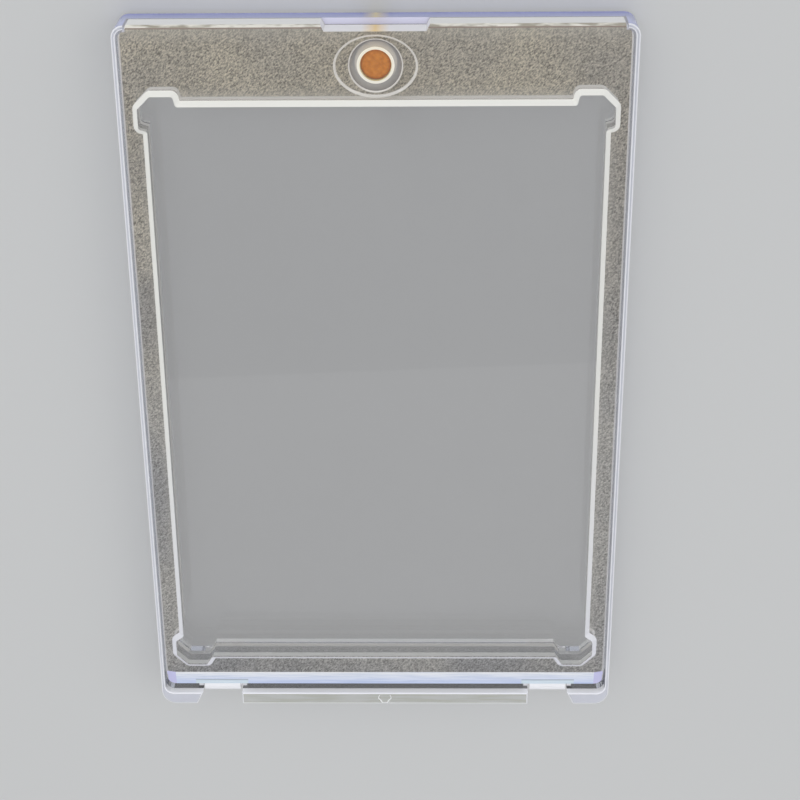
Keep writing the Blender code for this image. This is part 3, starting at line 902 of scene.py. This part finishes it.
def base_finish(centre, normal):
    """Which finish a face of the base has, from its place and direction."""
    outside = in_base_outline(centre)
    inner_rail = abs(centre.y - along(RAIL_WIDTH)) < RAIL_WIDTH / 2 and normal.y > UPRIGHT
    if inner_rail and centre.z > RAIL_BAND:
        return "rail_band"
    if inner_rail and centre.z > BASE_FLOOR + NEAR and near(centre.y, along(RAIL_WIDTH)):
        return "rail_wall"
    if normal.z > LEVEL and near(centre.z, BORDER_TOP):
        return "rail_top" if centre.y < along(RAIL_WIDTH) else "rim_top"
    in_gate_mark = abs(centre.x) < RAIL_WIDTH and centre.y < along(RAIL_WIDTH - RIM_ROUND)
    if in_gate_mark and BORDER_TOP - GATE_DEPTH - NEAR < centre.z and not outside:
        return "rail_top" if normal.z > LEVEL else "gate_edge"
    if normal.z > LEAST_RIM_EDGE and centre.z > BORDER_TOP - RIM_ROUND - NEAR:
        return "rim_edge"
    if abs(normal.x) > FACING and near(abs(centre.x), MOUTH_HALF_WIDTH) and centre.z > BASE_FLOOR:
        return "rim_end"
    if normal.y > LEAST_BASE_END and outside:
        return "base_end"
    if abs(normal.z) < FACING and outside:
        return "base_side"
    if normal.z > FACING and near(centre.z, BASE_FLOOR):
        return "base_border"
    if near(centre.z, BASE_FLOOR - SEAT_DEPTH) and centre.y > TOP_Y - NOTCH_DEPTH:
        return "notch_land"
    by_hook = abs(abs(centre.x) - HOOK_X) < POCKET_HALF_WIDTH
    if by_hook and centre.z > BASE_FLOOR + NEAR and centre.y < POCKET_WALL and not inner_rail:
        return "hinge_bar"
    if BASE_WALL < centre.z < BASE_FLOOR and abs(centre.y) < MAGNET_LOW.y:
        if LEAST_SLOPE < normal.z < MOST_SLOPE:
            return "base_lead_in"
        if abs(normal.z) < UPRIGHT:
            return "base_well_band" if centre.z < WELL_BAND_LOW else "base_well_wall"
    return "base_clear"


def dress(item, finish_of, materials):
    """Give each face its finish."""
    chosen = [finish_of(face.center, face.normal) for face in item.data.polygons]
    names = sorted(set(chosen))
    item.data.materials.clear()
    for name in names:
        item.data.materials.append(materials[name])
    for face, name in zip(item.data.polygons, chosen):
        face.material_index = names.index(name)


def cover_materials():
    return {
        "cover_clear": plastic("cover_clear_plastic", WHITE, 0.0, 0.015),
        "cover_border": grained(plastic("cover_grained_border", WHITE, 0.6, 0.35, HAZY_SHADOW),
                                (0.17, 0.155, 0.13), (0.98, 0.93, 0.83), 0.8),
        # painted highlight: the window's bevel is painted near-white, paler and warmer from the
        # foot to the middle, as lit from the magnet end
        "window_bevel": colour_by(plastic("cover_bevel_highlight", WHITE, 0.85, 0.25),
                                  up_to_the_middle, (0.90, 0.90, 0.97), (1.0, 0.985, 0.92)),
        "oval_edge": plastic("cover_oval_edge", (0.96, 0.93, 0.88), 0.6, 0.2),
        # painted highlight: the slope is painted white at its upper edge, fading to blue at its
        # foot
        "foot_slope": pocketed(rippled(streaked(
            colour_by(plastic("cover_foot_slope", WHITE, 0.85, 0.2), down_the_slope,
                      WHITE, (0.66, 0.75, 1.0)),
            SLOPE_STREAK, 24.0, (0.84, 0.87, 0.93), WHITE), SLOPE_RIPPLE, 0.4)),
        "slope_corner": plastic("cover_slope_corner", (0.70, 0.69, 1.0), 0.75, 0.2),
        # painted reflection of the gold magnet in the middle of the cover's end face
        "cover_end": painted_gold_gleam(plastic("cover_end_face", WHITE, 0.75, 0.15),
                                    (1.0, 0.72, 0.30), (0.98, 0.98, 0.97)),
        # painted highlight: cream dashes on the rounded top edge of the end, broken by dark streaks
        "cover_end_round": streaked(plastic("cover_end_round", (1.0, 0.97, 0.88), 0.7, 0.2),
                                    END_HIGHLIGHT_DASH, 4.0, (0.45, 0.43, 0.39), WHITE),
        # painted reflection: a dark line where the rounded end turns flat
        "cover_end_line": plastic("cover_end_line", (0.36, 0.29, 0.25), 0.6, 0.2),
        "cover_edge": plastic("cover_side_edge", (0.95, 0.95, 0.97), 0.35, 0.15),
        "cover_side": plastic("cover_side_wall", (0.92, 0.93, 0.97), 0.5, 0.15),
        "hook": plastic("cover_hook", (0.98, 0.98, 1.0), 0.7, 0.15),
        # painted reflection of the gold magnet on the bore's wall, and a painted highlight on its
        # step
        "magnet_ring": plastic("cover_magnet_ring", (1.0, 0.80, 0.36), 0.8, 0.25),
        "magnet_step": plastic("cover_magnet_step", (0.98, 0.94, 0.85), 0.8, 0.25),
        # painted shade: the seat round the plug is painted dark
        "magnet_seat": plastic("cover_magnet_seat", (0.20, 0.19, 0.18), 0.6, 0.1),
        # painted highlight on the dish's inner ring, and painted shade darkening its outer ring
        # outwards
        "glow_ring": plastic("cover_glow_ring", (1.0, 0.96, 0.84), 0.8, 0.2),
        "dish_ring": colour_by(plastic("cover_dish_ring", WHITE, 0.45, 0.1), across_dish_ring,
                               (0.62, 0.60, 0.57), (0.34, 0.32, 0.31)),
        "pocket_ceiling": plastic("cover_pocket_ceiling", (0.62, 0.74, 0.70), 0.6, 0.1),
        # painted shade: the pocket's wall is painted dark
        "pocket_wall": plastic("cover_pocket_wall", (0.20, 0.22, 0.28), 0.7, 0.1),
        "cover_lead_in": plastic("cover_lead_in", (0.82, 0.80, 0.76), 0.7, 0.25),
        # painted shade: the well's wall is painted grey; painted highlight: its band is painted
        # white
        "cover_well_wall": plastic("cover_well_wall", (0.50, 0.50, 0.49), 0.3, 0.05),
        "cover_well_band": plastic("cover_well_band", (1.0, 1.0, 0.97), 0.75, 0.1),
    }


def base_materials():
    return {
        "base_clear": plastic("base_clear_plastic", WHITE, 0.0, 0.015),
        # painted shade: the border is painted near-black in the groove between rail and cover
        "base_border": rippled(colour_by(plastic("base_hazed_border", WHITE, 0.2, 0.2),
                                         under_the_cover, (0.14, 0.13, 0.12), (0.8, 0.8, 0.82)),
                               BORDER_RIPPLE, 0.3),
        "notch_land": plastic("base_notch_land", (0.80, 0.79, 0.98), 0.75, 0.15),
        "base_side": plastic("base_side_face", (0.74, 0.78, 0.93), 0.2, 0.1),
        # painted reflection of the gold magnet in the middle of the base's end face
        "base_end": painted_gold_gleam(
            colour_by(plastic("base_end_face", WHITE, 0.6, 0.15), up_the_end,
                      (0.32, 0.37, 0.92), (0.64, 0.68, 0.97)), (1.0, 0.86, 0.55), WHITE),
        # painted highlight: the rim's rounded outer edge is painted white
        "rim_edge": plastic("base_rim_edge", (0.97, 0.97, 1.0), 0.8, 0.15),
        "rim_end": plastic("base_rim_end", (0.85, 0.87, 0.96), 0.6, 0.15),
        "rim_top": plastic("base_rim_top", (0.84, 0.85, 0.93), 0.5, 0.15),
        "rail_top": streaked(plastic("base_rail_top", (0.76, 0.76, 0.72), 0.45, 0.15),
                             RAIL_STREAK, 12.0, (0.86, 0.87, 0.80), WHITE),
        # painted highlight: the top of the rail's inner wall is painted white
        "rail_band": plastic("base_rail_band", (0.97, 0.97, 1.0), 0.95, 0.15),
        # painted shade: the rail's inner wall below its band is painted dark
        "rail_wall": plastic("base_rail_wall", (0.17, 0.165, 0.15), 0.3, 0.1),
        "hinge_bar": plastic("base_hinge_bar", (0.95, 0.95, 0.98), 0.6, 0.15),
        "gate_edge": plastic("base_gate_edge", WHITE, 0.95, 0.2),
        "base_lead_in": plastic("base_lead_in", (0.82, 0.80, 0.76), 0.5, 0.25),
        # painted shade: the well's wall is painted grey; painted highlight: its band is painted
        # white
        "base_well_wall": plastic("base_well_wall", (0.50, 0.50, 0.49), 0.3, 0.05),
        "base_well_band": plastic("base_well_band", (1.0, 1.0, 0.97), 0.75, 0.1),
    }


def gold():
    """Satin plating, darker towards the rim by painted shade."""
    material, tree, shader = new_material("gold_plate")
    shader.inputs["Metallic"].default_value = 0.6
    grain = noise_of(tree, GOLD_MOTTLE, 3.0, 1.0, 0.0)
    colour = ramp_of(tree, grain, (0.84, 0.27, 0.03), (1.0, 0.38, 0.05))
    edge = from_magnet_axis(tree, GOLD_RIM_SHARE * MAGNET_RADIUS, MAGNET_RADIUS)
    rim = ramp_of(tree, edge, WHITE, (0.60, 0.50, 0.42), 0.0, 1.0)
    tree.links.new(blended(tree, colour, rim, 1.0, "MULTIPLY"), shader.inputs["Base Color"])
    shader.inputs["Roughness"].default_value = 0.38
    return material


def paint(names, material):
    """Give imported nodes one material."""
    for name in names:
        mesh = frame["nodes"][name].data
        mesh.materials.clear()
        mesh.materials.append(material)


def build_stage():
    """Plain floor and an even world."""
    mesh = bpy.data.meshes.new("floor")
    half = FLOOR_SIZE / 2
    corners = [(-half, -half), (half, -half), (half, half), (-half, half)]
    mesh.from_pydata([(x, y, -FLOOR_DROP) for x, y in corners], [], [(0, 1, 2, 3)])
    floor = bpy.data.objects.new("floor", mesh)
    bpy.context.scene.collection.objects.link(floor)
    material, _, shader = new_material("floor_paint")
    shader.inputs["Base Color"].default_value = (*FLOOR_COLOUR, 1.0)
    shader.inputs["Roughness"].default_value = FLOOR_ROUGHNESS
    shader.inputs["Specular IOR Level"].default_value = FLOOR_SPECULAR
    mesh.materials.append(material)
    world = bpy.data.worlds.new("studio")
    bpy.context.scene.world = world
    world.use_nodes = True
    background = world.node_tree.nodes["Background"]
    background.inputs["Color"].default_value = (*WORLD_COLOUR, 1.0)
    background.inputs["Strength"].default_value = WORLD_STRENGTH


def add_lamp(name, place, size, power, mirrored):
    """Soft lamp aimed at the object, not seen through the plastic, and in it only if mirrored."""
    data = bpy.data.lights.new(name, "AREA")
    data.size = size
    data.energy = power
    lamp = bpy.data.objects.new(name, data)
    bpy.context.scene.collection.objects.link(lamp)
    lamp.location = place
    lamp.visible_glossy = mirrored
    lamp.visible_transmission = False
    lamp.rotation_mode = "QUATERNION"
    lamp.rotation_quaternion = (-Vector(place)).to_track_quat("-Z", "Y")


def build_camera():
    """Camera at the photograph's viewing angle."""
    data = bpy.data.cameras.new("camera")
    data.lens = CAMERA_LENS_MM
    data.sensor_width = CAMERA_SENSOR_MM
    data.clip_start = CAMERA_CLIP
    camera = bpy.data.objects.new("camera", data)
    bpy.context.scene.collection.objects.link(camera)
    back = (CAMERA_PLACE - CAMERA_TARGET).normalized()
    right = Vector((0, 1, 0)).cross(back).normalized()
    up = back.cross(right)
    turned_right = right * math.cos(CAMERA_ROLL) + up * math.sin(CAMERA_ROLL)
    turned_up = back.cross(turned_right)
    axes = Matrix((turned_right, turned_up, back)).transposed()
    camera.matrix_world = Matrix.Translation(CAMERA_PLACE) @ axes.to_4x4()
    bpy.context.scene.camera = camera


def main():
    base = build_base()
    dress(base, base_finish, base_materials())
    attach(base, "base")
    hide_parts("base_shell")
    cover = build_cover()
    dress(cover, cover_finish, cover_materials())
    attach(cover, "cover")
    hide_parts("front_cover")
    paint(("base_magnet", "cover_magnet"), gold())
    paint(("base_magnet_plug", "cover_magnet_plug"),
          plastic("plug_plastic", (0.95, 0.95, 0.93), 0.05, 0.06))
    build_stage()
    for lamp in LAMPS:
        add_lamp(*lamp)
    build_camera()
    bpy.context.scene.view_settings.view_transform = "Standard"


main()
